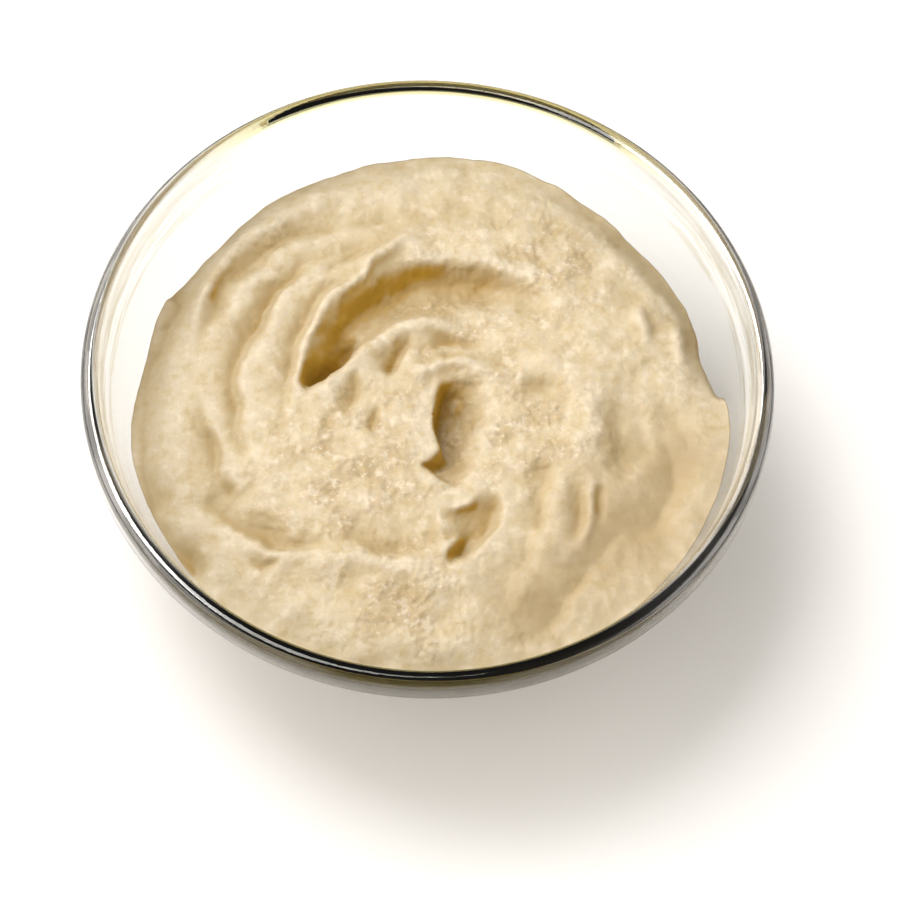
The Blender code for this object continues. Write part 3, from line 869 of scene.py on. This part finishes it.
def make_hummus():
    relief = hummus_relief()
    rings = np.concatenate([[0]] + [np.full(6 * k, k) for k in range(1, RING_COUNT + 1)])
    bearing = np.concatenate([[0.0]] + [np.arange(6 * k) * 2 * np.pi / (6 * k)
                                        for k in range(1, RING_COUNT + 1)])
    out = rings / RING_COUNT
    edge = edge_radius(relief, bearing)
    u, v = out * edge * np.cos(bearing), out * edge * np.sin(bearing)
    height = HEIGHT + relief.sample(relief.height, u, v)
    shift = relief.sample(relief.shift, u, v)
    top = np.stack([u + shift[:, 0], v + shift[:, 1], height], 1)

    border = 6 * RING_COUNT
    first = len(top) - border
    points = np.concatenate([top] + side_rings(top[first:, 2], bearing[first:]))
    loops = [np.arange(border) + first + border * i for i in range(WALL_RINGS + 1)]
    faces = [tuple(f) for f in ring_faces(RING_COUNT)]
    step = np.roll(np.arange(border), -1)
    for upper, lower in zip(loops, loops[1:]):
        faces += [tuple(f) for f in np.stack([upper, lower, lower[step], upper[step]], 1)]
    faces.append(tuple(loops[-1][::-1]))

    mesh = bpy.data.meshes.new("hummus_stock")
    mesh.from_pydata((points * MM).tolist(), [], faces)
    side = np.zeros(len(points) - len(top))
    for label, values in paste_masks(relief, u, v, out).items():
        layer = mesh.attributes.new(label, "FLOAT", "POINT")
        layer.data.foreach_set("value", np.concatenate([values, side]))
    mesh.update()
    return grain_tree().make("hummus_mass", mesh, {
        "Lump size": 2.4 * MM, "Lump height": 0.9 * MM, "Grain size": 1.0 * MM,
        "Grain height": 0.9 * MM, "Seed": 3.0, "Material": paste_material()})


def make_floor():
    mesh = bpy.data.meshes.new("floor")
    corners = [(x * FLOOR_HALF * MM, y * FLOOR_HALF * MM, FLOOR_LEVEL * MM)
               for x, y in ((-1, -1), (1, -1), (1, 1), (-1, 1))]
    mesh.from_pydata(corners, [], [(0, 1, 2, 3)])
    mesh.materials.append(floor_material())
    floor = bpy.data.objects.new("floor", mesh)
    bpy.context.scene.collection.objects.link(floor)


def add_light(name, azimuth, elevation, distance, size, power, shade):
    """A soft square light looking at the middle of the bowl, placed and sized in metres."""
    data = bpy.data.lights.new(name, "AREA")
    data.shape, data.size = "SQUARE", size
    data.energy, data.color = power, shade
    light = bpy.data.objects.new(name, data)
    a, e = math.radians(azimuth), math.radians(elevation)
    aim = Vector((0, 0, 0.5 * HEIGHT * MM))
    away = Vector((math.cos(a) * math.cos(e), math.sin(a) * math.cos(e), math.sin(e)))
    light.matrix_world = (Matrix.Translation(aim + away * distance)
                          @ away.to_track_quat("Z", "Y").to_matrix().to_4x4())
    bpy.context.scene.collection.objects.link(light)


def make_world():
    """A dim room with a ceiling glow and two tall soft screens, left and right."""
    world = bpy.data.worlds.new("studio")
    bpy.context.scene.world = world
    b = Bench(world, "ShaderNodeOutputWorld")
    look = b.node("ShaderNodeTexCoord", out=0)
    x = b.node("ShaderNodeSeparateXYZ", None, {0: look}, out=0)
    z = b.node("ShaderNodeSeparateXYZ", None, {0: look}, out=2)
    ceiling = b.between(z, 0.35, 0.85)
    screens = b.between(z, 0.0, 0.15) * (1.0 - b.between(z, 0.7, 0.88))
    left = b.between(0.0 - x, 0.22, 0.45) * screens
    right = b.between(x, 0.22, 0.45) * screens
    glow = ROOM + CEILING * ceiling + LEFT_SCREEN * left + RIGHT_SCREEN * right
    b.out(b.node("ShaderNodeBackground", None, {"Color": ROOM_SHADE, "Strength": glow}))


# --------------------------------------------------------------------- camera
def add_camera():
    data = bpy.data.cameras.new("camera")
    data.lens, data.sensor_width = LENS, 36.0
    data.clip_start, data.clip_end = 0.01, 20.0
    camera = bpy.data.objects.new("camera", data)
    bpy.context.scene.collection.objects.link(camera)
    e = math.radians(CAMERA_ELEVATION)
    rim = Vector((0, 0, HEIGHT * MM))
    away = Vector((0, -math.cos(e), math.sin(e)))
    spot = rim + away * CAMERA_DISTANCE * MM
    level = away.to_track_quat("Z", "Y").to_matrix()
    pan, tilt = math.radians(CAMERA_PAN), math.radians(CAMERA_TILT)
    roll = Matrix.Rotation(math.radians(CAMERA_ROLL), 3, "Z")
    aim = level @ roll @ Matrix.Rotation(-pan, 3, "Y") @ Matrix.Rotation(-tilt, 3, "X")
    camera.matrix_world = Matrix.Translation(spot) @ aim.to_4x4()
    bpy.context.scene.camera = camera


bowl = make_bowl()
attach(bowl, "root")
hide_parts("bowl")

hummus = make_hummus()
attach(hummus, "root")
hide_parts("hummus")

make_floor()
add_light("key", azimuth=145, elevation=69, distance=0.9, size=0.49, power=7.0,
          shade=(1.0, 0.985, 0.965))
make_world()
add_camera()
bpy.context.scene.view_settings.view_transform = "Standard"
